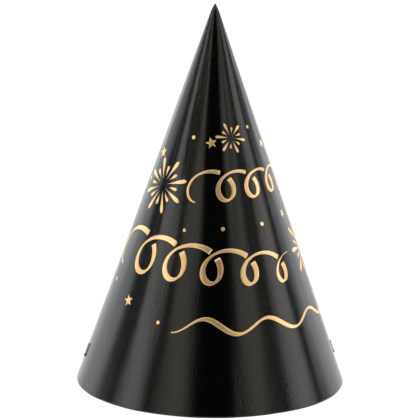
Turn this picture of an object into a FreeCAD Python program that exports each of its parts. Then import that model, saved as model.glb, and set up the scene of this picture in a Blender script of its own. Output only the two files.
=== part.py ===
import FreeCAD, Part

# New year party hat: a rolled cone of thin coated card with stamped gold foil fireworks and streamers,
# a taped seam at the back, and an elastic chin cord that ends in two crimped metal barbs.
#
# Frame: millimetres, +Z up, origin at the centre of the rim's plane. The hat's front faces -Y, the seam
# is at the back (+Y), and the two cord holes are left and right, on the X axis seen from above.
# Azimuth on the cone runs from 0 at the front towards +X, in degrees.

import math
import os

from FreeCAD import Vector

# ---- Driving dimensions -------------------------------------------------------------------------
SLANT = 170.0  # radius of the flat blank, from the tip to the rim
SECTOR = 120.0  # angle of the flat blank that closes the cone, without the overlap
CARD = 0.35  # card thickness
OVERLAP = 12.0  # azimuth that the outer flap covers, in degrees
RAMP = 8.0  # azimuth over which the flap climbs onto the layer below it, in degrees
TAPE_GAP = 0.12  # room between the two layers of the seam
TAPE = 0.10  # thickness of the double-sided tape in that room
TAPE_ENDS = 6.0  # bare seam left below and above the tape
TAPE_SIDES = 1.0  # bare seam left beside the tape, in degrees
TIP = 5.0  # height of the closed tip, above the end of the flap

HOLE_R = 1.0  # punched cord holes
HOLE_SLANT = 11.0  # from the rim to a hole's centre, along the card
CORD_R = 0.35  # thin round elastic cord
CORD_SEGMENT_GAP = 1.0  # from a cord pivot to the centre of the next segment's rounded end
LEG = 25.0  # reach of each cord leg, from the hole to the fold
FOLD_RADIUS = 51.0  # the folded cord lies on this circle, just inside the rim
CORD_FLOOR = 0.8  # height of the cord's centre where it lies along the rim

BARB_LENGTH = 4.6  # flat crimped ferrule on each end of the cord
BARB_WIDTH = 1.5
BARB_THICK = 0.70
BARB_WALL = 0.12
BARB_CORNER = 0.25  # radius of the ferrule's long edges
BARB_LIFT = 0.41  # from the card's outer face to the middle of the ferrule
BARB_START_UP = 0.85  # from the hole's axis up the card to the ferrule's mouth
CRIMP_PLACES = (0.3, 0.7)  # grooves across the ferrule, as shares of its length
CRIMP_DEPTH = 0.06
CRIMP_R = 0.4  # radius of the jaw that presses a groove
PLUG_REACH = 1.6  # length of cord on the inside of each hole
TONGUE_SHARE = 0.8  # how much of the ferrule the cord's flattened end fills
TONGUE_GAP = 0.03  # between the flattened end and the ferrule

FOIL = 0.05  # thickness of the stamped foil
FOIL_GAP = 0.01  # clearance that keeps the foil and the card two solids
ART_AZIMUTH = 14.0  # the artwork's centre line is turned this far towards +X
PEN_ANGLE = math.radians(25.0)  # slant of the broad pen that the streamers are drawn with
PEN_CONTRAST = 1.3  # above 1 the pen's thin strokes take up more of a turn
PEN_TIP = 0.25  # width of a streamer's ends, as a share of its full width
PEN_TAPER = 8.0  # how fast a streamer reaches its full width, in widths over its length
STREAMER_STEPS = 44  # points of a streamer's path in one turn
BEHIND_GAP = 0.4  # bare card between a streamer and its part that passes behind
RAY_START, SHORT_RAY_START = 0.24, 0.32  # where a firework's rays begin, as shares of its radius
SHORT_RAY_END = 0.68
SHORT_RAY_WIDTH = 0.8  # over the width of a long ray
SPARK = ((0, 0), (0.25, 0.14), (0.5, 0.27), (0.75, 0.43), (0.9, 0.46), (1, 0))  # (along, half width)
STAR_WAIST = 0.42  # inner radius of a star over its outer radius

# ---- Sizes that follow --------------------------------------------------------------------------
RIM_R = SLANT * SECTOR / 360.0
HALF_ANGLE = math.asin(RIM_R / SLANT)
HEIGHT = SLANT * math.cos(HALF_ANGLE)
WALL = CARD / math.cos(HALF_ANGLE)  # card thickness measured level
LAYER = WALL + TAPE_GAP  # how far out the flap lies
OUTWARD = Vector(math.cos(HALF_ANGLE), 0, math.sin(HALF_ANGLE))  # card's normal on the +X side
UPWARD = Vector(-math.sin(HALF_ANGLE), 0, math.cos(HALF_ANGLE))  # up the card on the +X side
HOLE = Vector(RIM_R, 0, 0) + UPWARD * HOLE_SLANT  # a hole's centre on the card's outer face
PIVOT = HOLE - OUTWARD * (CARD + PLUG_REACH)  # inner end of the cord's plug in the +X hole
FOLD_X = math.sqrt(FOLD_RADIUS**2 - LEG**2)
PUNCH = 10.0  # length of the punch that only cuts the holes


def outer_radius(z):
    """Radius of the card's outer face at a height."""
    return (HEIGHT - z) * math.tan(HALF_ANGLE)


def export(node, shapes):
    """Writes one node. Every shape in it stays a separate solid."""
    solids = [solid for shape in shapes for solid in shape.Solids]
    for solid in solids:
        if not solid.isValid() or solid.Volume <= 0:
            raise ValueError(f"{node} holds a bad solid")
    shape = solids[0] if len(solids) == 1 else Part.makeCompound(solids)
    shape.exportStep(os.path.join("parts", node + ".step"))


def mirrored(shape):
    """The same shape on the -X side."""
    return shape.mirror(Vector(0, 0, 0), Vector(1, 0, 0))


# ---- Card ---------------------------------------------------------------------------------------
def wall_section(offset, azimuth, low, high, depth=WALL):
    """A section cut along the axis at an azimuth: a thin four-sided face between two heights."""
    turn = math.radians(azimuth - 90.0)
    corners = []
    for z, shift in ((low, -depth), (low, 0.0), (high, 0.0), (high, -depth)):
        r = outer_radius(z) + offset + shift
        corners.append(Vector(r * math.cos(turn), r * math.sin(turn), z))
    return Part.Face(Part.makePolygon(corners + corners[:1]))


def swept_wall(section, angle):
    """A wall section turned about the hat's axis."""
    return section.revolve(Vector(0, 0, 0), Vector(0, 0, 1), angle)


def cone_card():
    """One sheet: it starts under the flap, goes once round, and climbs onto its own first edge."""
    top = HEIGHT - TIP
    start = 180.0 + OVERLAP / 2 - OVERLAP
    round_once = swept_wall(wall_section(0, start, 0, top), 360.0 - RAMP)
    ramp_start = start + 360.0 - RAMP
    low_wire = wall_section(0, ramp_start, 0, top).OuterWire
    high_wire = wall_section(LAYER, ramp_start + RAMP, 0, top).OuterWire
    ramp = Part.makeLoft([low_wire, high_wire], True, True)
    flap = swept_wall(wall_section(LAYER, ramp_start + RAMP, 0, top), OVERLAP)
    tip_outer = Part.makeCone(outer_radius(top), 0, TIP)
    tip_inner = Part.makeCone(outer_radius(top) - WALL, 0, TIP - WALL / math.tan(HALF_ANGLE))
    tip = tip_outer.cut(tip_inner)
    tip.translate(Vector(0, 0, top))
    card = round_once.fuse([ramp, flap, tip]).removeSplitter()
    punch = Part.makeCylinder(HOLE_R, PUNCH, HOLE - OUTWARD * PUNCH / 2, OUTWARD)
    return card.cut([punch, mirrored(punch)])


def seam_tape():
    """Double-sided tape between the two layers of the seam."""
    clearance = (TAPE_GAP - TAPE) / 2
    start = 180.0 - OVERLAP / 2 + TAPE_SIDES
    top = HEIGHT - TIP - TAPE_ENDS
    section = wall_section(clearance + TAPE, start, TAPE_ENDS, top, depth=TAPE)
    return swept_wall(section, OVERLAP - 2 * TAPE_SIDES)


# ---- Elastic cord and its barbs -----------------------------------------------------------------
def rounded_rod(start, end):
    """A length of cord with round ends, each end's centre at the given point."""
    along = end - start
    rod = Part.makeCylinder(CORD_R, along.Length, start, along)
    return rod.fuse([Part.makeSphere(CORD_R, start), Part.makeSphere(CORD_R, end)]).removeSplitter()


def both_sides(shape):
    return [shape, mirrored(shape)]


def upright_bar(width, thick, low, high):
    """A bar that lies along the card on the +X side, between two distances up from the hole."""
    bar = Part.makeBox(thick, width, high - low, Vector(-thick / 2, -width / 2, low))
    bar.Placement = FreeCAD.Placement(
        HOLE + OUTWARD * BARB_LIFT, FreeCAD.Rotation(Vector(0, 1, 0), -math.degrees(HALF_ANGLE))
    ).multiply(bar.Placement)
    return bar


def cord_plug():
    """The cord's end on the +X side: through the hole, round a bend, and flattened into the barb."""
    bend_radius = BARB_START_UP / 2
    corner = HOLE + OUTWARD * BARB_LIFT
    before = corner - OUTWARD * bend_radius
    after = corner + UPWARD * bend_radius
    middle = corner + (UPWARD - OUTWARD) * bend_radius * (1 - math.sqrt(0.5))
    path = Part.Wire(
        [
            Part.makeLine(PIVOT, before),
            Part.Arc(before, middle, after).toShape(),
            Part.makeLine(after, corner + UPWARD * (BARB_START_UP - TONGUE_GAP)),
        ]
    )
    profile = Part.Wire(Part.makeCircle(CORD_R, PIVOT, OUTWARD))
    slack = 2 * (BARB_WALL + TONGUE_GAP)
    tongue_top = BARB_START_UP + BARB_LENGTH * TONGUE_SHARE
    tongue = upright_bar(BARB_WIDTH - slack, BARB_THICK - slack, bend_radius, tongue_top)
    return path.makePipeShell([profile], True, False).fuse(tongue)


def barb():
    """Flat crimped ferrule on the +X side, close to the card and pointing up the slope."""
    top = BARB_START_UP + BARB_LENGTH
    sleeve = upright_bar(BARB_WIDTH, BARB_THICK, BARB_START_UP, top)
    long_edges = [edge for edge in sleeve.Edges if abs(edge.Length - BARB_LENGTH) < CORD_R]
    sleeve = sleeve.makeFillet(BARB_CORNER, long_edges)
    slot = upright_bar(BARB_WIDTH - 2 * BARB_WALL, BARB_THICK - 2 * BARB_WALL, 0, top + 1)
    grooves = []
    reach = BARB_THICK / 2 + CRIMP_R - CRIMP_DEPTH
    for share in CRIMP_PLACES:
        up = BARB_START_UP + BARB_LENGTH * share
        centre = HOLE + OUTWARD * (BARB_LIFT + reach) + UPWARD * up
        side = centre - Vector(0, BARB_WIDTH / 2, 0)
        grooves.append(Part.makeCylinder(CRIMP_R, BARB_WIDTH, side, Vector(0, 1, 0)))
    return sleeve.cut([slot] + grooves)


def cord_leg():
    start = Vector(PIVOT.x, CORD_SEGMENT_GAP, PIVOT.z)
    end = Vector(FOLD_X, LEG, PIVOT.z)
    along = (end - start).normalize()
    return rounded_rod(start, end - along * CORD_SEGMENT_GAP)


def cord_fold():
    upper = Vector(FOLD_X, LEG, PIVOT.z - CORD_SEGMENT_GAP)
    lower = Vector(FOLD_X, LEG, CORD_FLOOR + CORD_SEGMENT_GAP)
    return rounded_rod(upper, lower)


def cord_loop():
    """The part that goes under the chin. It lies round the inside of the rim, from fold to fold."""
    gap = math.degrees(CORD_SEGMENT_GAP / FOLD_RADIUS)
    fold_angle = math.degrees(math.atan2(LEG, FOLD_X)) - gap
    start = Vector(FOLD_RADIUS, 0, CORD_FLOOR)
    profile = Part.Face(Part.Wire(Part.makeCircle(CORD_R, start, Vector(0, 1, 0))))
    arc = profile.revolve(Vector(0, 0, 0), Vector(0, 0, 1), 180.0 + 2 * fold_angle)
    arc.rotate(Vector(0, 0, 0), Vector(0, 0, 1), -180.0 - fold_angle)
    ends = []
    for angle in (fold_angle, 180.0 - fold_angle):
        turn = math.radians(angle)
        centre = Vector(math.cos(turn), math.sin(turn), 0) * FOLD_RADIUS + Vector(0, 0, CORD_FLOOR)
        ends.append(Part.makeSphere(CORD_R, centre))
    return arc.fuse(ends).removeSplitter()


# ---- Foil artwork, drawn on the flat blank ------------------------------------------------------
# Flat points are (x, y): y runs from the tip down the artwork's centre line, x to the viewer's right.
def flat(azimuth, slant):
    """The flat point at an azimuth from the artwork's centre line and a distance from the tip."""
    turn = math.radians(azimuth * SECTOR / 360.0)
    return (slant * math.sin(turn), slant * math.cos(turn))


def on_cone(point):
    """A flat point as the parameters of a cone_surface."""
    x, y = point
    azimuth = math.atan2(x, y) * 360.0 / SECTOR + math.radians(ART_AZIMUTH)
    return FreeCAD.Base.Vector2d(math.pi + azimuth, SLANT - math.hypot(x, y))


def cone_surface(lift):
    """The cone that stands off the card's outer face by a lift, with its parameter seam at the back."""
    surface = Part.Cone()
    surface.Radius = RIM_R + lift * math.cos(HALF_ANGLE)
    surface.SemiAngle = -HALF_ANGLE
    surface.Center = Vector(0, 0, lift * math.sin(HALF_ANGLE))
    surface.rotate(FreeCAD.Placement(Vector(0, 0, 0), Vector(0, 0, 1), 90))
    return surface


FOIL_INNER = cone_surface(FOIL_GAP)
FOIL_OUTER = cone_surface(FOIL_GAP + FOIL)


def run_curve(run):
    """One side of an outline: a straight line for two points, else a smooth curve through them."""
    points = [on_cone(p) for p in run]
    if len(points) == 2:
        return Part.Geom2d.Line2dSegment(points[0], points[1])
    travel = [0.0]
    for before, after in zip(run, run[1:]):
        travel.append(travel[-1] + math.dist(before, after))
    curve = Part.Geom2d.BSplineCurve2d()
    curve.interpolate(Points=points, Parameters=travel)
    return curve


def foil_island(runs):
    """A patch of foil wrapped on the cone, from a closed outline of runs on the flat blank."""
    curves = [run_curve(run) for run in runs]
    inner = [curve.toShape(FOIL_INNER) for curve in curves]
    outer = [curve.toShape(FOIL_OUTER) for curve in curves]
    faces = [Part.makeRuledSurface(a, b) for a, b in zip(inner, outer)]
    faces.append(Part.Face(FOIL_INNER, Part.Wire(inner)))
    faces.append(Part.Face(FOIL_OUTER, Part.Wire(outer)))
    shell = Part.makeShell(faces)
    shell.sewShape()
    solid = Part.makeSolid(Part.makeShell(shell.Faces))
    if solid.Volume < 0:
        solid.reverse()
    return solid


def heading(points, i):
    """Unit direction of a path at one of its points."""
    ahead, behind = points[min(i + 1, len(points) - 1)], points[max(i - 1, 0)]
    length = math.dist(ahead, behind)
    return (ahead[0] - behind[0]) / length, (ahead[1] - behind[1]) / length


def outline_along(points, widths):
    """Runs round a stroke that follows points with the given widths."""
    left, right = [], []
    for i, (x, y) in enumerate(points):
        dx, dy = heading(points, i)
        half = widths[i] / 2
        left.append((x - dy * half, y + dx * half))
        right.append((x + dy * half, y - dx * half))
    return [left, [left[-1], right[-1]], right[::-1], [right[0], left[0]]]


def pen_width(direction, share, thin, thick):
    """A broad pen's stroke: thick one way, thin across it, and tapered at both ends of the stroke."""
    dx, dy = direction
    spread = abs(dx * math.sin(PEN_ANGLE) + dy * math.cos(PEN_ANGLE)) ** PEN_CONTRAST
    taper = min(1.0, PEN_TIP + PEN_TAPER * min(share, 1.0 - share))
    return (thin + (thick - thin) * spread) * taper


def streamer(start, end, turns, radii, pen, curl=1.0):
    """A paper streamer drawn out from start to end, each an (azimuth, slant). With curl 1 it coils and
    with curl 0 it waves. Where it crosses itself, the part that passes behind stops short on each side."""
    count = round(STREAMER_STEPS * turns)
    points = []
    for i in range(count + 1):
        share = i / count
        turn = 2 * math.pi * turns * share - math.pi / 2
        r = radii[0] + (radii[1] - radii[0]) * share
        slant = start[1] + (end[1] - start[1]) * share - r * math.sin(turn)
        azimuth = start[0] + (end[0] - start[0]) * share
        reach = math.degrees(curl * r * math.cos(turn) / slant) * 360.0 / SECTOR
        points.append(flat(azimuth - reach, slant))
    widths = [pen_width(heading(points, i), i / count, *pen) for i in range(count + 1)]
    islands, begin = [], 0
    for stop, restart in crossings(points, widths) + [(count, None)]:
        islands.append(foil_island(outline_along(points[begin : stop + 1], widths[begin : stop + 1])))
        begin = restart
    return islands


def crossings(points, widths):
    """Index spans to leave out of a path, one at each place where its earlier part passes behind."""
    spans = []
    for i in range(len(points) - 1):
        for j in range(i + 3, len(points) - 1):
            if segments_cross(points[i], points[i + 1], points[j], points[j + 1]):
                (ax, ay), (bx, by) = heading(points, i), heading(points, j)
                slope = abs(ax * by - ay * bx)
                hidden = widths[j] / 2 + BEHIND_GAP + widths[i] / 2 * math.sqrt(1 - slope**2)
                reach = math.ceil(hidden / slope / math.dist(points[i], points[i + 1]))
                spans.append((i - reach, i + 1 + reach))
    return spans


def segments_cross(a, b, c, d):
    """Whether the segment from a to b crosses the one from c to d."""

    def side(p, q, r):
        return (q[0] - p[0]) * (r[1] - p[1]) - (q[1] - p[1]) * (r[0] - p[0])

    return side(a, b, c) * side(a, b, d) < 0 and side(c, d, a) * side(c, d, b) < 0


def spark(centre, angle, inner, outer, width):
    """One ray of a firework: a drop that swells towards its far end."""
    cos, sin = math.cos(angle), math.sin(angle)
    length = outer - inner
    sides = []
    for sign in (1, -1):
        side = []
        for share, half in SPARK:
            along, across = inner + length * share, sign * half * width
            side.append((centre[0] + along * cos - across * sin, centre[1] + along * sin + across * cos))
        sides.append(side)
    return foil_island([sides[0], sides[1][::-1]])


def burst(centre, radius, rays, width):
    """A firework: long and short rays in turn, round an open middle."""
    islands = []
    for k in range(rays):
        angle = 2 * math.pi * (k + 0.25) / rays
        if k % 2 == 0:
            islands.append(spark(centre, angle, radius * RAY_START, radius, width))
        else:
            inner, outer = radius * SHORT_RAY_START, radius * SHORT_RAY_END
            islands.append(spark(centre, angle, inner, outer, width * SHORT_RAY_WIDTH))
    return islands


def star(centre, radius, tilt):
    """A five-pointed star."""
    corners = []
    for k in range(10):
        r = radius if k % 2 == 0 else radius * STAR_WAIST
        angle = math.radians(tilt) + math.pi * k / 5
        corners.append((centre[0] + r * math.sin(angle), centre[1] - r * math.cos(angle)))
    return foil_island([[corners[k], corners[(k + 1) % 10]] for k in range(10)])


def dot(centre, radius):
    """A round confetti dot, in two halves of outline."""
    halves = []
    for begin in (0, 1):
        half = []
        for k in range(7):
            angle = math.pi * (begin + k / 6)
            half.append((centre[0] + radius * math.cos(angle), centre[1] + radius * math.sin(angle)))
        halves.append(half)
    return foil_island(halves)


def foil_artwork():
    """Every foil node: name to list of solids. Places are (azimuth from the artwork's centre line,
    distance from the tip)."""
    stars = ((-86, 66, 2.6, 10), (-22, 60, 2.4, -8), (54, 62, 2.2, 14), (-108, 100, 2.8, 0))
    stars += ((50, 92, 2.2, 20), (-72, 128, 2.6, 8), (92, 128, 2.4, 0))
    dots = ((-44, 58, 0.8), (30, 54, 0.7), (-98, 78, 0.9), (-12, 95, 0.8), (-40, 96, 0.7), (-94, 122, 0.9))
    dots += ((-48, 134, 0.8), (20, 94, 0.9), (88, 92, 0.8), (84, 66, 0.7), (-116, 112, 0.8))
    return {
        "foil_streamer_upper": streamer((-34, 78), (82, 76), 4.5, (6.4, 4.2), (0.8, 2.1)),
        "foil_streamer_lower": streamer((-92, 106), (40, 113), 5.5, (8.8, 5.6), (0.9, 2.5)),
        "foil_streamer_wave": streamer((-40, 134), (80, 135), 3.5, (3.2, 2.2), (0.9, 2.3), curl=0.0),
        "foil_burst_left": burst(flat(-70, 79), 12.0, 16, 1.7),
        "foil_burst_right": burst(flat(70, 109), 14.5, 18, 1.9),
        "foil_burst_small": burst(flat(2, 58), 6.5, 12, 1.1),
        "foil_stars": [star(flat(a, s), r, t) for a, s, r, t in stars],
        "foil_dots": [dot(flat(a, s), r) for a, s, r in dots],
    }


def main():
    os.makedirs("parts", exist_ok=True)
    export("cone_card", [cone_card()])
    export("seam_tape", [seam_tape()])
    plug, tube = cord_plug(), barb()
    export("cord_plug_right", [plug])
    export("cord_plug_left", [mirrored(plug)])
    export("barb_right", [tube])
    export("barb_left", [mirrored(tube)])
    export("cord_legs", both_sides(cord_leg()))
    export("cord_folds", both_sides(cord_fold()))
    export("cord_loop", [cord_loop()])
    for node, islands in foil_artwork().items():
        export(node, islands)


main()
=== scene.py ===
import math

import bmesh
import bpy
from mathutils import Matrix, Vector, noise


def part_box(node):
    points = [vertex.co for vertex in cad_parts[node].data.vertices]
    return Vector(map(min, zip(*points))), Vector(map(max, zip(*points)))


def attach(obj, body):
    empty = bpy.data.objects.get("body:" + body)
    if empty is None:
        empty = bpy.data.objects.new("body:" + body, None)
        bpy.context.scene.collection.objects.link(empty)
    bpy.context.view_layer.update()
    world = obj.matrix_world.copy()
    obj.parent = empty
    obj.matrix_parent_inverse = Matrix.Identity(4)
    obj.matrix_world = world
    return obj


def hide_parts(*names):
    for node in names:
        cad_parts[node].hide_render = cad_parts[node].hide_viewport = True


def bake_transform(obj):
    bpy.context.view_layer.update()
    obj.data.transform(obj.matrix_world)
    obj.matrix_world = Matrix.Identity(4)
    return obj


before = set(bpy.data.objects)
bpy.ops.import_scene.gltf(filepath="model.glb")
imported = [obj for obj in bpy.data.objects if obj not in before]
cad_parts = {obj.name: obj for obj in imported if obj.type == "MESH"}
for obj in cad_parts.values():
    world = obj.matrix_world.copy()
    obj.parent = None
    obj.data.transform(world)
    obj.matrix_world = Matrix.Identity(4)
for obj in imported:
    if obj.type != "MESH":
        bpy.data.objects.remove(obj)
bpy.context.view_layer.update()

# ---- Sizes, in metres and degrees, from the frame -------------------------------------------------
MM = 0.001
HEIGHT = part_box("cone_card")[1].z
RIM_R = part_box("cone_card")[1].x
HALF_ANGLE = math.atan2(RIM_R, HEIGHT)
LEVEL = 1 / math.cos(HALF_ANGLE)  # a thickness measured level, over the thickness itself
CARD = 0.35 * MM
LAYER = 0.47 * MM  # how far the flap of the seam lies off the card, along the normal
SEAM_START, RAMP_START, RAMP_END, SEAM_END = 174, 526, 534, 546
ROLL = 0.7 * MM  # the cut at the rim rolls the outer face over, this far up
ROLL_DEPTH = 0.25 * MM
TIP_GAP = 2.0 * MM  # the rolled tip ends blunt, this far below the cone's true apex
TIP_CURL = 3.0 * MM  # and closes in over this height
TIP_CLOSE = 0.6  # by this share of its radius
TAPER = 8 * MM  # the layers of the tip thin out together over this height

OUTWARD = Vector((math.cos(HALF_ANGLE), 0, math.sin(HALF_ANGLE)))  # the card's normal on the +X side
UPWARD = Vector((-math.sin(HALF_ANGLE), 0, math.cos(HALF_ANGLE)))
HOLE_R = 1.0 * MM
HOLE = Vector((RIM_R, 0, 0)) + UPWARD * 11.0 * MM
HOLE_BLOCK = 0.75 * MM  # half the side of the block of card cells that a hole replaces
HOLE_SPREAD = 2.6 * MM  # cells are pushed aside by the hole up to here
HOLE_TURNS = (270, 450)  # the -X and +X holes, within the turns from SEAM_START to SEAM_END

HOLE_CELL = 0.25 * MM  # side of the fine card cells round a hole
NEAR_CELLS = 11  # fine cells on each side of a hole's middle
CARD_ROWS, ROLL_ROWS, TIP_ROWS = 96, 4, 6
ROW_CROWDING = 1.05  # above 1, rows of cells crowd together towards the tip

# The card strays from a true cone in broad swells and narrow flutes: height, scale round and up the hat
BROAD, BROAD_ROUND, BROAD_UP = 0.34, 2.3, 6.0
FLUTE, FLUTE_ROUND, FLUTE_UP = 0.16, 6.5, 24.0
CALM_SEAM, CALM_SEAM_FADE = 16, 24  # degrees either side of the seam
CALM_HOLE, CALM_HOLE_FADE = 6 * MM, 14 * MM
CALM_TIP = 60 * MM

CORD_R = 0.35 * MM
CORD_SIDES = 16
CORD_STEP = 0.14 * MM
CORD_BEND = 1.2 * MM  # radius of the cord's soft bends
YARNS, YARN_LAY, YARN_DEPTH = 4, 1.5 * MM, 0.07  # yarns wound each way, their lay, and share of CORD_R
PIVOT = HOLE - OUTWARD * (CARD + 1.6 * MM)  # where the cord begins to swing
LEG_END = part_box("cord_folds")[1] - Vector((CORD_R, CORD_R, 0))  # above the fold's centre
FOLD_Y = LEG_END.y
CORD_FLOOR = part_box("cord_loop")[0].z + CORD_R
FOLD_RADIUS = math.hypot(LEG_END.x, FOLD_Y)
BARB_LIFT = 0.41 * MM  # from the card's face to the middle of the flat ferrule
BARB_START = HOLE + OUTWARD * BARB_LIFT + UPWARD * 0.85 * MM
BARB_LENGTH = 4.6 * MM
BARB_HALF_WIDTH = 0.75 * MM
BARB_HALF_THICK = 0.35 * MM
BARB_WALL = 0.12 * MM
BARB_CRIMPS = (0.3, 0.7)
BARB_SIDES = 40
CRIMP_WIDTH, CRIMP_DEPTH, CRIMP_BULGE = 0.06, 0.16, 0.03
FLARE_LENGTH, FLARE = 0.18, 0.12
BARB_ROUNDING = 0.55  # below 1 the ferrule's section is squarer than an ellipse
BARB_LIP = 0.012
BARB_RINGS = 56

ART_AZIMUTH = 14  # the foil artwork's centre line is turned this far towards +X
BLANK_TURN = math.sin(HALF_ANGLE)  # an angle on the flat blank, over the same angle round the hat
PEN_ANGLE = math.radians(25)
PEN_CONTRAST = 1.3  # how sharply the stroke changes from thin to thick
PEN_TIP = 0.25  # share of its width that a stroke has at its ends
PEN_TAPER = 8.0  # how quickly it fills out from there
BEHIND_GAP = 0.4
FOIL_HEIGHT = 0.10 * MM
FOIL_BASE = 0.01 * MM  # the foil's underside, off the card
FULL_WIDTH = 0.8  # strokes narrower than this are lower too, in millimetres
RAY_START = 0.24  # a firework's rays, as shares of its radius
SHORT_RAY_START, SHORT_RAY_END = 0.32, 0.68
SHORT_RAY_WIDTH = 0.8
RAY_STEPS = 16
STAR_WAIST = 0.42
DOT_SIDES = 28
FLOOR_Z = -0.112  # below the chin cord when it hangs
FLOOR_HALF = 6.0

CAMERA_UP, CAMERA_LEFT, CAMERA_ROLL, CAMERA_ANGLE = (math.radians(d) for d in (10, 6, 0.8, 14.7))
CAMERA_DISTANCE = 12 * RIM_R
CAMERA_AIM = Vector((-0.016 * RIM_R, 0, 1.28 * RIM_R))  # before the camera goes round to the left


# ---- Shared helpers -------------------------------------------------------------------------------
def smooth(x):
    """A step from 0 to 1 with soft ends."""
    x = min(1.0, max(0.0, x))
    return x * x * (3 - 2 * x)


def build(name, points, faces, materials, slots=None, sharp=()):
    """A smooth-shaded mesh object. slots holds a material index for each face, sharp some edges."""
    mesh = bpy.data.meshes.new(name)
    mesh.from_pydata(points, [], faces)
    for material in materials:
        mesh.materials.append(material)
    mesh.polygons.foreach_set("use_smooth", [True] * len(faces))
    if slots:
        mesh.polygons.foreach_set("material_index", slots)
    if sharp:
        for edge in mesh.edges:
            edge.use_edge_sharp = tuple(sorted(edge.vertices)) in sharp
    mesh.validate()
    drop_loose(mesh)
    mesh.update()
    piece = bpy.data.objects.new(name, mesh)
    bpy.context.collection.objects.link(piece)
    return piece


def drop_loose(mesh):
    """Deletes the points that no face uses."""
    work = bmesh.new()
    work.from_mesh(mesh)
    loose = [point for point in work.verts if not point.link_faces]
    bmesh.ops.delete(work, geom=loose, context="VERTS")
    work.to_mesh(mesh)
    work.free()


def on_side(point, side):
    """A +X point, or its mirror image when side is -1."""
    return Vector((point[0] * side, point[1], point[2]))


# ---- Material nodes -------------------------------------------------------------------------------
def node(tree, kind, settings=None, **inputs):
    """Adds a shader node. An input is a number, a colour, or another node's output to link."""
    made = tree.nodes.new("ShaderNode" + kind)
    for name, value in (settings or {}).items():
        setattr(made, name, value)
    for name, value in inputs.items():
        socket = made.inputs[int(name[1:]) if name[1:].isdigit() else name.replace("_", " ")]
        if isinstance(value, bpy.types.NodeSocket):
            tree.links.new(value, socket)
        else:
            socket.default_value = value
    return made


def maths(tree, operation, a, b=0.0, c=0.0):
    """One step of arithmetic on numbers or node outputs."""
    return node(tree, "Math", {"operation": operation}, _0=a, _1=b, _2=c).outputs[0]


def ramp(tree, value, stops):
    """A colour ramp with (place, grey or colour) stops."""
    made = node(tree, "ValToRGB", None, Fac=value)
    band = made.color_ramp
    while len(band.elements) < len(stops):
        band.elements.new(0.5)
    for element, (place, colour) in zip(band.elements, sorted(stops, key=lambda s: s[0])):
        element.position = place
        element.color = (*colour, 1) if isinstance(colour, tuple) else (colour, colour, colour, 1)
    return made.outputs["Color"]


def grain(tree, where, scale, detail=3.0, stretch=(1, 1, 1)):
    """Noise in metres: scale is in cells per metre."""
    mapped = node(tree, "Mapping", None, Vector=where, Scale=stretch).outputs[0]
    return node(tree, "TexNoise", None, Vector=mapped, Scale=scale, Detail=detail).outputs["Fac"]


def mix(tree, factor, a, b):
    """Colour a where the factor is 0, and colour b where it is 1."""
    made = node(tree, "MixRGB", None, Fac=factor, Color1=a, Color2=b)
    return made.outputs[0]


def bump(tree, height, distance, strength=1.0, normal=None):
    """A bumped normal, on top of another one if given. Distance is in metres."""
    made = node(tree, "Bump", None, Height=height, Distance=distance, Strength=strength)
    if normal:
        tree.links.new(normal, made.inputs["Normal"])
    return made.outputs[0]


def new_material(name):
    """An empty material: (material, tree, principled shader, object coordinates)."""
    material = bpy.data.materials.new(name)
    material.use_nodes = True
    tree = material.node_tree
    shader = tree.nodes["Principled BSDF"]
    where = node(tree, "TexCoord").outputs["Object"]
    return material, tree, shader, where


def wire(tree, shader, **inputs):
    """Sets or links the shader's inputs by name."""
    for name, value in inputs.items():
        socket = shader.inputs[name.replace("_", " ")]
        if isinstance(value, bpy.types.NodeSocket):
            tree.links.new(value, socket)
        else:
            socket.default_value = value


def card_coat():
    """Black laminate: satin gloss with a fine mottled grain and faint scuffs."""
    material, tree, shader, where = new_material("card_coat")
    mottle = grain(tree, where, 1300, 3.0)
    patches = grain(tree, where, 60, 3.0, (1, 1, 0.35))
    scuffs = ramp(tree, grain(tree, where, 420, 6.0, (1, 1, 0.12)), [(0.60, 0.0), (0.72, 1.0)])
    colour = mix(tree, scuffs, (0.0011, 0.0010, 0.0010, 1), (0.0035, 0.0033, 0.0030, 1))
    rough = maths(tree, "MULTIPLY_ADD", patches, 0.06, 0.07)
    rough = maths(tree, "MULTIPLY_ADD", mottle, 0.08, rough)
    wire(tree, shader, Base_Color=colour, Roughness=rough, IOR=1.5)
    tree.links.new(bump(tree, mottle, 0.07 * MM), shader.inputs["Normal"])
    return material


def card_inside():
    """Uncoated board: off-white, matt, with fibres and faint stains."""
    material, tree, shader, where = new_material("card_inside")
    fibres = grain(tree, where, 2600, 6.0, (1, 1, 0.3))
    clouds = grain(tree, where, 90, 4.0)
    specks = ramp(tree, grain(tree, where, 3200, 1.0), [(0.70, 0.0), (0.76, 1.0)])
    colour = mix(tree, clouds, (0.66, 0.645, 0.61, 1), (0.74, 0.73, 0.70, 1))
    colour = mix(tree, maths(tree, "MULTIPLY", specks, 0.5), colour, (0.42, 0.38, 0.32, 1))
    wire(tree, shader, Base_Color=colour, Roughness=0.85)
    tree.links.new(bump(tree, fibres, 0.03 * MM, 0.8), shader.inputs["Normal"])
    return material


def card_edge():
    """The cut edge: pressed layers of board under a thin black film."""
    material, tree, shader, where = new_material("card_edge")
    plies = grain(tree, where, 9000, 3.0, (0.2, 0.2, 1))
    colour = mix(tree, plies, (0.16, 0.155, 0.145, 1), (0.36, 0.35, 0.33, 1))
    wire(tree, shader, Base_Color=colour, Roughness=0.8)
    tree.links.new(bump(tree, plies, 0.03 * MM), shader.inputs["Normal"])
    return material


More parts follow.
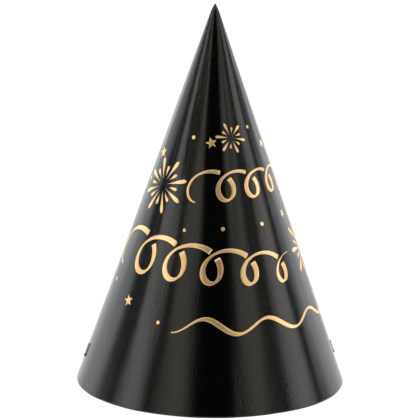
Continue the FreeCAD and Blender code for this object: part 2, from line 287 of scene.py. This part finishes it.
def gold_foil():
    """Hot-stamped gold foil: satin metal in two warm tones, slightly wrinkled."""
    material, tree, shader, where = new_material("gold_foil")
    wrinkles = grain(tree, where, 420, 3.0)
    fine = grain(tree, where, 2600, 2.0)
    tone = grain(tree, where, 150, 2.0)
    colour = mix(tree, tone, (1.0, 0.61, 0.26, 1), (1.0, 0.77, 0.41, 1))
    rough = maths(tree, "MULTIPLY_ADD", fine, 0.18, 0.28)
    wire(tree, shader, Base_Color=colour, Metallic=1.0, Roughness=rough)
    first = bump(tree, wrinkles, 0.16 * MM, 0.7)
    tree.links.new(bump(tree, fine, 0.006 * MM, 1.0, first), shader.inputs["Normal"])
    return material


def crimped_steel():
    """Tinned steel with drawing lines and dull spots."""
    material, tree, shader, where = new_material("crimped_steel")
    lines = grain(tree, where, 3000, 4.0, (1, 1, 0.08))
    dull = grain(tree, where, 900, 3.0)
    colour = mix(tree, dull, (0.62, 0.60, 0.57, 1), (0.76, 0.75, 0.73, 1))
    rough = maths(tree, "MULTIPLY_ADD", dull, 0.25, 0.18)
    wire(tree, shader, Base_Color=colour, Metallic=1.0, Roughness=rough)
    tree.links.new(bump(tree, lines, 0.008 * MM), shader.inputs["Normal"])
    return material


def elastic_cord():
    """Black braided elastic: soft sheen, and a painted highlight that makes the colour lighter on the
    raised yarns.
    """
    material, tree, shader, where = new_material("elastic_cord")
    yarn = grain(tree, where, 9000, 4.0)
    fade = grain(tree, where, 260, 2.0)
    # Painted highlight: the colour is lighter where the same fibre noise raises the bump
    colour = mix(tree, yarn, (0.010, 0.010, 0.011, 1), (0.045, 0.044, 0.046, 1))
    colour = mix(tree, maths(tree, "MULTIPLY", fade, 0.3), colour, (0.06, 0.058, 0.06, 1))
    wire(tree, shader, Base_Color=colour, Roughness=0.7, Sheen_Weight=0.6, Sheen_Roughness=0.4)
    tree.links.new(bump(tree, yarn, 0.02 * MM), shader.inputs["Normal"])
    return material


def clear_tape():
    """Double-sided tape: a hazy film with trapped bubbles."""
    material, tree, shader, where = new_material("clear_tape")
    haze = grain(tree, where, 500, 4.0)
    bubbles = ramp(tree, grain(tree, where, 1400, 1.0), [(0.62, 0.0), (0.68, 1.0)])
    colour = mix(tree, haze, (0.74, 0.70, 0.58, 1), (0.84, 0.82, 0.76, 1))
    rough = maths(tree, "MULTIPLY_ADD", haze, 0.3, 0.25)
    wire(tree, shader, Base_Color=colour, Roughness=rough, Transmission_Weight=0.35)
    tree.links.new(bump(tree, bubbles, 0.02 * MM), shader.inputs["Normal"])
    return material


# ---- The card -------------------------------------------------------------------------------------
def hole_distance(azimuth, z):
    """Offsets from the nearer cord hole, round the hat and up the card, and that hole's azimuth."""
    side = 90 if azimuth % 360 < 180 else 270
    turn = math.radians(azimuth % 360 - side)
    return turn * HOLE.x, (z - HOLE.z) * LEVEL, side


def wave(azimuth, z):
    """How far the rolled card strays outwards from a true cone. It is true at the seam, holes and tip."""
    across, up, _ = hole_distance(azimuth, z)
    behind = abs((azimuth % 360) - 180)
    calm = smooth((behind - CALM_SEAM) / CALM_SEAM_FADE)
    calm *= smooth((math.hypot(across, up) - CALM_HOLE) / CALM_HOLE_FADE)
    calm *= smooth((HEIGHT - z) / CALM_TIP)
    turn = math.radians(azimuth)
    place = Vector((math.cos(turn), math.sin(turn), 0))
    broad = noise.noise(place * BROAD_ROUND + Vector((3.1, 0.7, z * BROAD_UP)))
    flutes = noise.noise(place * FLUTE_ROUND + Vector((0.4, 8.2, z * FLUTE_UP)))
    return calm * (BROAD * broad + FLUTE * flutes) * MM


def card_point(azimuth, z, lift=0.0):
    """A point on the card's outer face, or off it by lift along the normal. Azimuth 0 faces -Y."""
    closing = max(0.0, (z - (HEIGHT - TIP_GAP - TIP_CURL)) / TIP_CURL)
    r = (HEIGHT - z) * math.tan(HALF_ANGLE) * (1 - TIP_CLOSE * closing**2)
    r += wave(azimuth, z) + lift * LEVEL
    turn = math.radians(azimuth)
    return Vector((r * math.sin(turn), -r * math.cos(turn), z))


def opened(azimuth, z):
    """Where a card cell's corner goes once the round holes have pushed the cells round them aside."""
    across, up, side = hole_distance(azimuth, z)
    distance = math.hypot(across, up)
    if distance >= HOLE_SPREAD or distance < 1e-9:
        return azimuth, z
    block = HOLE_BLOCK * distance / max(abs(across), abs(up))
    share = max(0.0, (distance - block) / (HOLE_SPREAD - block))
    pushed = (HOLE_R + share * (HOLE_SPREAD - HOLE_R)) / distance
    turned = side + math.degrees(across * pushed / HOLE.x)
    return azimuth - azimuth % 360 + turned, HOLE.z + up * pushed / LEVEL


def grid_lines():
    """Azimuths and heights of the card's cells: even, and finer round the two holes."""
    turn = math.degrees(HOLE_CELL / HOLE.x)
    fine_half = NEAR_CELLS + 0.5  # half the fine block, in its cells
    near = range(-NEAR_CELLS, NEAR_CELLS + 1)
    azimuths = {round(centre + k * turn, 5) for centre in HOLE_TURNS for k in near}
    for k in range(2 * SEAM_START, 2 * SEAM_END + 1):
        azimuth = k / 2
        if all(abs(azimuth - centre) > fine_half * turn for centre in HOLE_TURNS):
            azimuths.add(azimuth)
    heights = {HOLE.z + k * HOLE_CELL / LEVEL for k in near}
    heights.update(HEIGHT - TIP_GAP - TIP_CURL * k / TIP_ROWS for k in range(TIP_ROWS + 1))
    for k in range(CARD_ROWS + 1):
        z = (HEIGHT - TIP_GAP) * (1 - (1 - k / CARD_ROWS) ** ROW_CROWDING)
        if abs(z - HOLE.z) > fine_half * HOLE_CELL / LEVEL:
            heights.add(z)
    heights.update(ROLL * k / ROLL_ROWS for k in range(1, ROLL_ROWS + 1))
    return sorted(azimuths), sorted(heights)


def make_card(coat, inside, edge):
    """One sheet rolled past its own first edge, with the flap outside and both faces and cut edges."""
    azimuths, heights = grid_lines()
    outer, inner = [], []
    for z_line in heights:
        for azimuth_line in azimuths:
            azimuth, z = opened(azimuth_line, z_line)
            taper = min(1.0, (HEIGHT - z) / TAPER)
            lift = LAYER * smooth((azimuth - RAMP_START) / (RAMP_END - RAMP_START)) * taper
            outer.append(card_point(azimuth, z, lift - ROLL_DEPTH * smooth(1 - z / ROLL) ** 2))
            inner.append(card_point(azimuth, z, lift - CARD * taper))
    columns, count = len(azimuths), len(outer)
    faces, slots = [], []
    for row in range(len(heights) - 1):
        z = (heights[row] + heights[row + 1]) / 2
        for column in range(columns - 1):
            across, up, _ = hole_distance((azimuths[column] + azimuths[column + 1]) / 2, z)
            if max(abs(across), abs(up)) < HOLE_BLOCK:
                continue
            a = row * columns + column
            face = (a, a + 1, a + 1 + columns, a + columns)
            faces.append(face)
            slots.append(0)
            faces.append(tuple(v + count for v in reversed(face)))
            slots.append(1)
    sharp = set()
    for a, b in open_edges(faces[::2]):
        faces.append((b, a, a + count, b + count))
        slots.append(2)
        sharp.add(tuple(sorted((a, b))))
        sharp.add(tuple(sorted((a + count, b + count))))
    return build("card", outer + inner, faces, [coat, inside, edge], slots, sharp)


def open_edges(faces):
    """Directed edges that only one face uses."""
    edges = {}
    for face in faces:
        for a, b in zip(face, face[1:] + face[:1]):
            if (b, a) in edges:
                del edges[(b, a)]
            else:
                edges[(a, b)] = True
    return list(edges)


# ---- Foil artwork, drawn in millimetres on the flat blank -----------------------------------------
def flat(azimuth, slant):
    """The flat point at an azimuth from the artwork's centre line and a distance from the tip."""
    turn = math.radians(azimuth) * BLANK_TURN
    return (slant * math.sin(turn), slant * math.cos(turn))


def wrapped(point, lift):
    """A flat point on the rolled card, lifted off its face."""
    azimuth = math.degrees(math.atan2(point[0], point[1]) / BLANK_TURN) + ART_AZIMUTH
    z = HEIGHT - math.hypot(*point) * MM * math.cos(HALF_ANGLE)
    return card_point(azimuth, z, lift)


def heading(points, i):
    """The direction of a path at one of its points."""
    ahead, behind = points[min(i + 1, len(points) - 1)], points[max(i - 1, 0)]
    length = math.dist(ahead, behind)
    return (ahead[0] - behind[0]) / length, (ahead[1] - behind[1]) / length


# Across a stroke: share of its half width, and share of the foil's full height
SECTION = ((-1, 0.0), (-0.94, 0.45), (-0.8, 0.8), (-0.45, 0.95), (0, 1.0))
SECTION += tuple((-place, height) for place, height in SECTION[-2::-1])


def add_stroke(points, faces, path, widths):
    """Adds a raised stroke to a mesh: a crowned strip with a closed underside."""
    first, ring = len(points), len(SECTION)
    for i, (x, y) in enumerate(path):
        dx, dy = heading(path, i)
        for place, height in SECTION:
            half = widths[i] / 2 * place
            lift = FOIL_BASE + FOIL_HEIGHT * height * min(1.0, widths[i] / FULL_WIDTH)
            points.append(wrapped((x - dy * half, y + dx * half), lift))
    for i in range(len(path) - 1):
        a = first + i * ring
        for k in range(ring - 1):
            faces.append((a + k, a + k + 1, a + ring + k + 1, a + ring + k))
        faces.append((a + ring - 1, a, a + ring, a + 2 * ring - 1))
    last = first + (len(path) - 1) * ring
    faces.append(tuple(range(first + ring - 1, first - 1, -1)))
    faces.append(tuple(range(last, last + ring)))


def pen_width(direction, share, thin, thick):
    """A broad pen's stroke: thick one way, thin across it, and tapered at both ends of the stroke."""
    dx, dy = direction
    spread = abs(dx * math.sin(PEN_ANGLE) + dy * math.cos(PEN_ANGLE)) ** PEN_CONTRAST
    taper = min(1.0, PEN_TIP + PEN_TAPER * share, PEN_TIP + PEN_TAPER * (1.0 - share))
    return (thin + (thick - thin) * spread) * taper


def streamer_path(start, end, turns, radii, curl):
    """A row of loops from start to end. With no curl it is a plain wave."""
    count = round(72 * turns)
    points = []
    for i in range(count + 1):
        share = i / count
        turn = 2 * math.pi * turns * share - math.pi / 2
        r = radii[0] + (radii[1] - radii[0]) * share
        slant = start[1] + (end[1] - start[1]) * share - r * math.sin(turn)
        azimuth = start[0] + (end[0] - start[0]) * share
        reach = math.degrees(curl * r * math.cos(turn) / slant) / BLANK_TURN
        points.append(flat(azimuth - reach, slant))
    return points


def make_streamer(name, start, end, turns, radii, pen, curl=1.0):
    """A paper streamer in foil. Where it crosses itself, the part behind stops short on each side."""
    path = streamer_path(start, end, turns, radii, curl)
    last = len(path) - 1
    widths = [pen_width(heading(path, i), i / last, *pen) for i in range(last + 1)]
    points, faces, begin = [], [], 0
    for stop, restart in crossings(path, widths) + [(last, None)]:
        add_stroke(points, faces, path[begin : stop + 1], widths[begin : stop + 1])
        begin = restart
    return foil_piece(name, points, faces)


def crossings(path, widths):
    """Index spans to leave out of a path, one at each place where its earlier part passes behind."""
    spans = []
    for i in range(len(path) - 1):
        for j in range(i + 3, len(path) - 1):
            if segments_cross(path[i], path[i + 1], path[j], path[j + 1]):
                (ax, ay), (bx, by) = heading(path, i), heading(path, j)
                slope = abs(ax * by - ay * bx)
                margin = (widths[j] / 2 + BEHIND_GAP + widths[i] / 2 * math.sqrt(1 - slope**2)) / slope
                reach = math.ceil(margin / math.dist(path[i], path[i + 1]))
                spans.append((i - reach, i + 1 + reach))
    return spans


def segments_cross(a, b, c, d):
    """Whether the segment from a to b crosses the one from c to d."""
    def side(p, q, r):
        return (q[0] - p[0]) * (r[1] - p[1]) - (q[1] - p[1]) * (r[0] - p[0])

    return side(a, b, c) * side(a, b, d) < 0 and side(c, d, a) * side(c, d, b) < 0


def spark_width(share, width):
    """A drop that swells towards its far end."""
    swell = 0.06 + 0.94 * smooth(share / 0.85)
    rounding = math.sqrt(max(0.02, 1 - (max(0, share - 0.8) / 0.2) ** 2))
    return width * swell * rounding


def make_burst(name, centre, radius, rays, width):
    """A firework: long and short rays in turn, round an open middle."""
    points, faces = [], []
    middle = flat(*centre)
    for k in range(rays):
        angle = 2 * math.pi * (k + 0.25) / rays
        long_ray = k % 2 == 0
        outer = radius if long_ray else radius * SHORT_RAY_END
        inner = radius * (RAY_START if long_ray else SHORT_RAY_START)
        path, widths = [], []
        for i in range(RAY_STEPS + 1):
            along = inner + (outer - inner) * i / RAY_STEPS
            path.append((middle[0] + along * math.cos(angle), middle[1] + along * math.sin(angle)))
            widths.append(spark_width(i / RAY_STEPS, width if long_ray else width * SHORT_RAY_WIDTH))
        add_stroke(points, faces, path, widths)
    return foil_piece(name, points, faces)


def add_dome(points, faces, middle, outline, rings):
    """Adds a raised patch: rings (share of size, share of height) inside a flat outline."""
    first, count = len(points), len(outline)
    for size, height in rings:
        for x, y in outline:
            spot = (middle[0] + x * size, middle[1] + y * size)
            points.append(wrapped(spot, FOIL_BASE + FOIL_HEIGHT * height))
    points.append(wrapped(middle, FOIL_BASE + FOIL_HEIGHT))
    for ring in range(len(rings) - 1):
        for k in range(count):
            a, b = first + ring * count + k, first + ring * count + (k + 1) % count
            faces.append((a, b, b + count, a + count))
    top = first + (len(rings) - 1) * count
    for k in range(count):
        faces.append((top + k, top + (k + 1) % count, len(points) - 1))
    faces.append(tuple(range(first + count - 1, first - 1, -1)))


def make_stars(name, places):
    """Five-pointed stars with a ridge to each point."""
    points, faces = [], []
    for azimuth, slant, radius, tilt in places:
        outline = []
        for k in range(10):
            r = radius if k % 2 == 0 else radius * STAR_WAIST
            angle = math.radians(tilt) + math.pi * k / 5
            outline.append((r * math.sin(angle), -r * math.cos(angle)))
        add_dome(points, faces, flat(azimuth, slant), outline, ((1, 0), (0.92, 0.5), (0.5, 0.8)))
    return foil_piece(name, points, faces)


def make_dots(name, places):
    """Round confetti dots."""
    points, faces = [], []
    for azimuth, slant, radius in places:
        turns = [2 * math.pi * k / DOT_SIDES for k in range(DOT_SIDES)]
        outline = [(radius * math.cos(t), radius * math.sin(t)) for t in turns]
        rings = ((1, 0), (0.9, 0.6), (0.7, 0.85), (0.4, 0.97))
        add_dome(points, faces, flat(azimuth, slant), outline, rings)
    return foil_piece(name, points, faces)


def foil_piece(name, points, faces):
    """Makes one piece of foil, which takes the place of the CAD's and rides on the hat."""
    piece = build("gold_" + name, points, faces, [FOIL])
    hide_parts("foil_" + name)
    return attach(piece, "hat")


def make_artwork():
    """Every piece of foil. Places are (azimuth from the artwork's centre line, distance from the tip)."""
    make_streamer("streamer_upper", (-34, 78), (82, 76), 4.5, (6.4, 4.2), (0.8, 2.1))
    make_streamer("streamer_lower", (-92, 106), (40, 113), 5.5, (8.8, 5.6), (0.9, 2.5))
    make_streamer("streamer_wave", (-40, 134), (80, 135), 3.5, (3.2, 2.2), (0.9, 2.3), curl=0.0)
    make_burst("burst_left", (-70, 79), 12.0, 16, 1.7)
    make_burst("burst_right", (70, 109), 14.5, 18, 1.9)
    make_burst("burst_small", (2, 58), 6.5, 12, 1.1)
    stars = ((-86, 66, 2.6, 10), (-22, 60, 2.4, -8), (54, 62, 2.2, 14), (-108, 100, 2.8, 0))
    stars += ((50, 92, 2.2, 20), (-72, 128, 2.6, 8), (92, 128, 2.4, 0))
    make_stars("stars", stars)
    dots = ((-44, 58, 0.8), (30, 54, 0.7), (-98, 78, 0.9), (-12, 95, 0.8), (-40, 96, 0.7), (-94, 122, 0.9))
    dots += ((-48, 134, 0.8), (20, 94, 0.9), (88, 92, 0.8), (84, 66, 0.7), (-116, 112, 0.8))
    make_dots("dots", dots)


# ---- Elastic cord and barbs -----------------------------------------------------------------------
def rounded_path(corners, radius, step):
    """A polyline's points at even steps, with each inner corner rounded off."""
    rough = [Vector(corners[0])]
    for before, corner, after in zip(corners, corners[1:], corners[2:]):
        reach = min(radius, (corner - before).length * 0.49, (after - corner).length * 0.49)
        a = corner + (before - corner).normalized() * reach
        b = corner + (after - corner).normalized() * reach
        for k in range(13):
            t = k / 12
            rough.append(a * (1 - t) ** 2 + corner * 2 * t * (1 - t) + b * t * t)
    rough.append(Vector(corners[-1]))
    return even_steps(rough, step)


def even_steps(points, step):
    """The same path with its points at even distances."""
    lengths = [0.0]
    for a, b in zip(points, points[1:]):
        lengths.append(lengths[-1] + (b - a).length)
    count = max(2, round(lengths[-1] / step))
    result, k = [], 0
    for i in range(count + 1):
        target = lengths[-1] * i / count
        while k < len(points) - 2 and lengths[k + 1] < target:
            k += 1
        span = lengths[k + 1] - lengths[k]
        result.append(points[k].lerp(points[k + 1], (target - lengths[k]) / span if span else 0))
    return result


def add_cord(points, faces, path):
    """Adds a braided cord along a path. Two sets of yarns wind opposite ways, and the upper one shows."""
    first = len(points)
    normal = (path[1] - path[0]).orthogonal().normalized()
    length = 0.0
    for i, centre in enumerate(path):
        along = (path[min(i + 1, len(path) - 1)] - path[max(i - 1, 0)]).normalized()
        normal = (normal - along * normal.dot(along)).normalized()
        side = along.cross(normal)
        for k in range(CORD_SIDES):
            turn = 2 * math.pi * k / CORD_SIDES
            lay = length / YARN_LAY * 2 * math.pi
            yarn = max(math.sin(YARNS * turn + lay), math.sin(YARNS * turn - lay))
            r = CORD_R * (1 - YARN_DEPTH + YARN_DEPTH * yarn)
            points.append(centre + (normal * math.cos(turn) + side * math.sin(turn)) * r)
        length += (path[min(i + 1, len(path) - 1)] - centre).length
    for i in range(len(path) - 1):
        a = first + i * CORD_SIDES
        for k in range(CORD_SIDES):
            n = (k + 1) % CORD_SIDES
            faces.append((a + k, a + n, a + CORD_SIDES + n, a + CORD_SIDES + k))
    last = first + (len(path) - 1) * CORD_SIDES
    faces.append(tuple(range(first + CORD_SIDES - 1, first - 1, -1)))
    faces.append(tuple(range(last, last + CORD_SIDES)))


LEG_MIDDLE = Vector((PIVOT.x, 0, PIVOT.z)).lerp(Vector((LEG_END.x, FOLD_Y, PIVOT.z)), 0.5)
FOLD_CORNER = Vector((LEG_END.x, FOLD_Y, PIVOT.z))
FOLD_MIDDLE = Vector((LEG_END.x, FOLD_Y, (PIVOT.z + CORD_FLOOR) / 2))


def cord_piece(name, paths, material):
    """One visual piece of cord, along one or more paths."""
    points, faces = [], []
    for path in paths:
        add_cord(points, faces, path)
    piece = build(name, points, faces, [material])
    return piece


def make_cord(material):
    """The cord: its plugs ride on the barbs, and the legs, folds and loop are built in place."""
    for side, label in ((1, "right"), (-1, "left")):
        corners = [PIVOT, HOLE + OUTWARD * BARB_LIFT, BARB_START + UPWARD * BARB_LENGTH * 0.12]
        path = rounded_path([on_side(c, side) for c in corners], 0.43 * MM, CORD_STEP / 2)
        plug = cord_piece("elastic_plug_" + label, [path], material)
        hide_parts("cord_plug_" + label)
        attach(plug, label + "_barb")
    inner = PIVOT - OUTWARD * 0.9 * MM
    leg = cord_pair("elastic_legs", (PIVOT + OUTWARD * 0.1 * MM, inner, LEG_MIDDLE), 1.2 * MM, material)
    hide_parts("cord_legs")
    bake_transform(leg)
    fold = cord_pair("elastic_folds", (LEG_MIDDLE, FOLD_CORNER, FOLD_MIDDLE), CORD_BEND, material)
    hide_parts("cord_folds")
    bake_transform(fold)
    loop = cord_piece("elastic_loop", [loop_path()], material)
    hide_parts("cord_loop")
    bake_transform(loop)


def cord_pair(name, corners, radius, material):
    """The same length of cord on the +X and -X sides."""
    sides = [[on_side(c, side) for c in corners] for side in (1, -1)]
    return cord_piece(name, [rounded_path(side, radius, CORD_STEP) for side in sides], material)


def loop_path():
    """From the middle of the left fold, down and round inside the rim, to the middle of the right fold."""
    fold = math.degrees(math.asin(FOLD_Y / FOLD_RADIUS))
    count = 160
    arc = []
    for k in range(count + 1):
        turn = math.radians(180 - fold + (180 + 2 * fold) * k / count)
        arc.append(Vector((FOLD_RADIUS * math.cos(turn), FOLD_RADIUS * math.sin(turn), CORD_FLOOR)))
    start = rounded_path([on_side(FOLD_MIDDLE, -1), arc[0], arc[4]], CORD_BEND, CORD_STEP)
    end = rounded_path([arc[-5], arc[-1], FOLD_MIDDLE], CORD_BEND, CORD_STEP)
    return even_steps(start + arc[5:-5] + end, CORD_STEP)


def barb_ring(share, wall, side):
    """A ring of the ferrule: a flat rounded section, pinched by the crimps and open at the mouth."""
    squeeze = sum(math.exp(-(((share - crimp) / CRIMP_WIDTH) ** 2)) for crimp in BARB_CRIMPS)
    flare = smooth(1 - share / FLARE_LENGTH)
    thick = BARB_HALF_THICK * (1 - CRIMP_DEPTH * squeeze + FLARE * flare) - wall
    width = BARB_HALF_WIDTH * (1 + CRIMP_BULGE * squeeze - FLARE * flare) - wall
    ring = []
    for k in range(BARB_SIDES):
        turn = 2 * math.pi * k / BARB_SIDES
        across = math.copysign(abs(math.cos(turn)) ** BARB_ROUNDING, math.cos(turn)) * width
        out = math.copysign(abs(math.sin(turn)) ** BARB_ROUNDING, math.sin(turn)) * thick
        centre = BARB_START + UPWARD * BARB_LENGTH * share
        ring.append(on_side(centre + Vector((0, across, 0)) + OUTWARD * out, side))
    return ring


def make_barb(side, label, material):
    """A flat steel ferrule, rolled round the cord's end: grooved by the crimping jaw, with soft lips."""
    lip = BARB_LIP
    profile = [(0.0, BARB_WALL * 0.8), (-lip * 0.7, BARB_WALL * 0.5), (0.0, BARB_WALL * 0.1)]
    profile += [(lip + (1 - 2 * lip) * k / BARB_RINGS, 0.0) for k in range(BARB_RINGS + 1)]
    profile += [(1.0, BARB_WALL * 0.1), (1 + lip * 0.7, BARB_WALL * 0.5), (1.0, BARB_WALL * 0.8)]
    profile += [(0.97, BARB_WALL), (0.03, BARB_WALL)]
    points, faces = [], []
    for share, wall in profile:
        points += barb_ring(share, wall, side)
    for i in range(len(profile)):
        for k in range(BARB_SIDES):
            step = (k + 1) % BARB_SIDES
            after = (i + 1) % len(profile) * BARB_SIDES
            face = (i * BARB_SIDES + k, i * BARB_SIDES + step, after + step, after + k)
            faces.append(face if side > 0 else face[::-1])
    piece = build("ferrule_" + label, points, faces, [material])
    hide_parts("barb_" + label)
    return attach(piece, label + "_barb")


# ---- Studio ---------------------------------------------------------------------------------------
COOL, WHITE, WARM = (0.97, 1.0, 1.03), (1.0, 0.99, 0.95), (1.0, 0.95, 0.84)
FILL = 0.01  # faint light from everywhere
TOP_LIGHT = 1.4  # overhead
TOP_START, TOP_FULL = 0.65, 0.9  # where it fades in, as the height of a unit direction

# A plain tent behind the hat and two mirrored pairs of upright soft lights, evenly spaced. Each has a
# turn, half width and soft edge in degrees, a strength and a tint. Turn 0 is the hat's front (-Y) and
# 90 is +X.
SOFT_LIGHTS = (
    (180, 60, 20, 1.5, COOL),
    (-80, 5, 15, 2.0, WHITE),
    (80, 5, 15, 2.0, WHITE),
    (-40, 5, 15, 1.0, WARM),
    (40, 5, 15, 1.0, WARM),
)


def soft_light(tree, turn, light):
    """One light's glow for a direction: even across its width, with soft edges."""
    centre, half_width, edge, strength, tint = light
    aside = maths(tree, "WRAP", maths(tree, "SUBTRACT", turn, float(centre)), 180.0, -180.0)
    inside = node(tree, "MapRange", {"interpolation_type": "SMOOTHSTEP"},
                  Value=maths(tree, "ABSOLUTE", aside), From_Min=half_width + edge, From_Max=half_width)
    glow = maths(tree, "MULTIPLY", inside.outputs[0], strength)
    return node(tree, "VectorMath", {"operation": "SCALE"}, _0=tint, Scale=glow).outputs[0]


def make_world():
    """White where the camera looks past the hat, and the tent and soft lights that the hat mirrors."""
    world = bpy.data.worlds.new("studio")
    bpy.context.scene.world = world
    world.use_nodes = True
    tree = world.node_tree
    tree.nodes.clear()
    direction = node(tree, "TexCoord").outputs["Generated"]
    parts = node(tree, "SeparateXYZ", None, Vector=direction).outputs
    azimuth = maths(tree, "ARCTAN2", parts["X"], maths(tree, "MULTIPLY", parts["Y"], -1.0))
    turn = maths(tree, "DEGREES", azimuth)
    tent = (FILL, FILL, FILL)
    for light in SOFT_LIGHTS:
        glow = soft_light(tree, turn, light)
        tent = node(tree, "VectorMath", {"operation": "ADD"}, _0=tent, _1=glow).outputs[0]
    above = ramp(tree, parts["Z"], [(TOP_START, 0.0), (TOP_FULL, 1.0)])
    tent = mix(tree, above, tent, (TOP_LIGHT, TOP_LIGHT, TOP_LIGHT, 1))
    seen = node(tree, "LightPath").outputs["Is Camera Ray"]
    colour = mix(tree, seen, tent, (1, 1, 1, 1))
    light = node(tree, "Background", None, Color=colour, Strength=1.0)
    out = node(tree, "OutputWorld")
    tree.links.new(light.outputs[0], out.inputs["Surface"])


def make_floor():
    """A pale floor, low enough for the chin cord to hang free."""
    signs = ((-1, -1), (1, -1), (1, 1), (-1, 1))
    corners = [(x * FLOOR_HALF, y * FLOOR_HALF, FLOOR_Z) for x, y in signs]
    material, tree, shader, where = new_material("floor")
    cloud = grain(tree, where, 3.0)
    colour = mix(tree, cloud, (0.93, 0.93, 0.93, 1), (0.96, 0.96, 0.96, 1))
    wire(tree, shader, Base_Color=colour, Roughness=0.9)
    # Clear from below, so that the hat's underside can be looked at
    below = node(tree, "NewGeometry").outputs["Backfacing"]
    wire(tree, shader, Alpha=maths(tree, "SUBTRACT", 1.0, below))
    floor = build("floor", corners, [(0, 1, 2, 3)], [material])


def make_camera():
    """A little above the hat, and a few degrees round towards -X."""
    away = Vector((0, -math.cos(CAMERA_UP), math.sin(CAMERA_UP)))
    around = Matrix.Rotation(-CAMERA_LEFT, 4, "Z")
    place = around @ (away * CAMERA_DISTANCE) + Vector((0, 0, HEIGHT / 2))
    camera_data = bpy.data.cameras.new("camera")
    camera_data.angle = CAMERA_ANGLE
    camera = bpy.data.objects.new("camera", camera_data)
    camera.location = place
    look = (around @ CAMERA_AIM - place).to_track_quat("-Z", "Y").to_matrix().to_4x4()
    camera.rotation_euler = (look @ Matrix.Rotation(CAMERA_ROLL, 4, "Z")).to_euler()
    bpy.context.collection.objects.link(camera)
    bpy.context.scene.camera = camera


# ---- Scene ----------------------------------------------------------------------------------------
FOIL = gold_foil()
card = make_card(card_coat(), card_inside(), card_edge())
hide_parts("cone_card")
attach(card, "hat")
make_artwork()
make_cord(elastic_cord())
steel = crimped_steel()
make_barb(1, "right", steel)
make_barb(-1, "left", steel)
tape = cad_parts["seam_tape"]
tape.data.materials.clear()
tape.data.materials.append(clear_tape())
make_world()
make_floor()
make_camera()
bpy.context.scene.view_settings.view_transform = "Standard"
